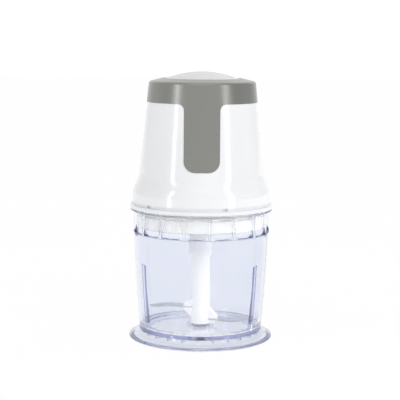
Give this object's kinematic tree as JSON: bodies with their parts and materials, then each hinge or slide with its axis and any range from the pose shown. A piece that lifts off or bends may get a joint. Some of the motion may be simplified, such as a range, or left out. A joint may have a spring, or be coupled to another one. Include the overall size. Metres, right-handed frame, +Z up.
{
  "type": "food processor",
  "caption": "Compact press-top food chopper: clear flared bowl on a wide foot, curved blades on a centre spindle, tray lid and a lift-off tapered motor head.",
  "frame": {"origin": "centre of the anti-slip ring's underside, on the surface the bowl stands on", "axes": "+Z up along the spindle, -Y towards the front of the motor head, +X to the right seen from the front"},
  "size_m": [0.1264, 0.1264, 0.2345],
  "materials": {
    "bowl": "clear",
    "lid": "gloss",
    "housing": "gloss",
    "trim": "satin",
    "button": "satin",
    "cover": "satin",
    "spindle": "satin",
    "bearing_plastic": "satin",
    "gear_plastic": "satin",
    "gearbox": "matte",
    "dark_plastic": "matte",
    "component": "gloss",
    "board": "satin",
    "plunger": "satin",
    "carbon": "matte",
    "rubber": "matte",
    "foot_ring": "translucent",
    "seal": "matte",
    "gland": "matte",
    "steel": "polished",
    "blade_steel": "brushed",
    "screw_steel": "zinc plated",
    "motor_steel": "zinc plated",
    "rotor_iron": "laminated",
    "magnet": "sintered",
    "bronze": "sintered",
    "copper": "enamelled"
  },
  "bodies": {
    "bowl": {"bowl": "bowl", "bowl_pin": "steel", "anti_slip_ring": "foot_ring"},
    "blade_sleeve": {"blade_bushing": "bronze"},
    "blade": {"blade_hub": "spindle", "upper_blade": "blade_steel", "lower_blade": "blade_steel"},
    "lid": {"lid": "lid", "lid_seal": "seal", "lid_bush": "bearing_plastic"},
    "motor_head": {"housing": "housing", "trim_cap": "trim", "bottom_cover": "cover", "cover_screws": "screw_steel", "cord_gland": "gland", "cord_clamp": "dark_plastic", "clamp_screws": "screw_steel", "gearbox_housing": "gearbox", "output_bush": "bronze", "ring_gear": "gear_plastic", "gearbox_cover": "gearbox", "gearbox_screws": "screw_steel", "lower_damper": "rubber", "upper_damper": "rubber", "motor_can": "motor_steel", "motor_screws": "screw_steel", "magnets": "magnet", "motor_end_cap": "dark_plastic", "brushes": "carbon", "brush_springs": "bronze", "lower_motor_bush": "bronze", "upper_motor_bush": "bronze", "switch_carrier": "bearing_plastic", "circuit_board": "board", "board_components": "component", "switch_body": "dark_plastic", "button_spring": "steel"},
    "button": {"button": "button"},
    "switch_plunger": {"switch_plunger": "plunger"},
    "rotor": {"motor_shaft": "steel", "sun_gear": "bronze", "rotor_core": "rotor_iron", "rotor_windings": "copper", "commutator": "copper", "cooling_fan": "dark_plastic"},
    "output": {"planet_carrier": "gear_plastic", "planet_pins": "steel", "drive_coupler": "bearing_plastic"},
    "planet_1": {"planet_gear_1": "gear_plastic"},
    "planet_2": {"planet_gear_2": "gear_plastic"},
    "planet_3": {"planet_gear_3": "gear_plastic"}
  },
  "joints": [
    {"name": "lid_lift", "type": "slide", "parent": "bowl", "child": "lid", "axis": [0, 0, 1], "range_m": [0, 0.18]},
    {"name": "blade_lift", "type": "slide", "parent": "bowl", "child": "blade_sleeve", "axis": [0, 0, 1], "range_m": [0, 0.11]},
    {"name": "blade_spin", "type": "hinge", "parent": "blade_sleeve", "child": "blade", "pos_m": [0, 0, 0.03], "axis": [0, 0, 1], "continuous": true},
    {"name": "head_lift", "type": "slide", "parent": "lid", "child": "motor_head", "axis": [0, 0, 1], "range_m": [0, 0.05]},
    {"name": "button_press", "type": "slide", "parent": "motor_head", "child": "button", "axis": [0, 0, -1], "range_m": [0, 0.004], "stiffness_N_per_m": 600, "springref_m": -0.004, "deforming": ["button_spring"]},
    {"name": "switch_press", "type": "slide", "parent": "motor_head", "child": "switch_plunger", "axis": [0, 0, -1], "range_m": [0, 0.004]},
    {"name": "rotor_spin", "type": "hinge", "parent": "motor_head", "child": "rotor", "pos_m": [0, 0, 0.165], "axis": [0, 0, 1], "continuous": true},
    {"name": "output_spin", "type": "hinge", "parent": "motor_head", "child": "output", "pos_m": [0, 0, 0.12], "axis": [0, 0, 1], "continuous": true},
    {"name": "planet_1_spin", "type": "hinge", "parent": "output", "child": "planet_1", "pos_m": [0.0135, 0, 0.134], "axis": [0, 0, 1], "continuous": true},
    {"name": "planet_2_spin", "type": "hinge", "parent": "output", "child": "planet_2", "pos_m": [-0.00675, 0.01169, 0.134], "axis": [0, 0, 1], "continuous": true},
    {"name": "planet_3_spin", "type": "hinge", "parent": "output", "child": "planet_3", "pos_m": [-0.00675, -0.01169, 0.134], "axis": [0, 0, 1], "continuous": true}
  ],
  "couplings": [
    {"joint": "blade_lift", "follows": "lid_lift", "ratio": 0.61111},
    {"joint": "switch_press", "follows": "button_press", "ratio": 1},
    {"joint": "output_spin", "follows": "rotor_spin", "ratio": 0.2},
    {"joint": "blade_spin", "follows": "rotor_spin", "ratio": 0.2},
    {"joint": "planet_1_spin", "follows": "rotor_spin", "ratio": -0.53333},
    {"joint": "planet_2_spin", "follows": "rotor_spin", "ratio": -0.53333},
    {"joint": "planet_3_spin", "follows": "rotor_spin", "ratio": -0.53333}
  ]
}
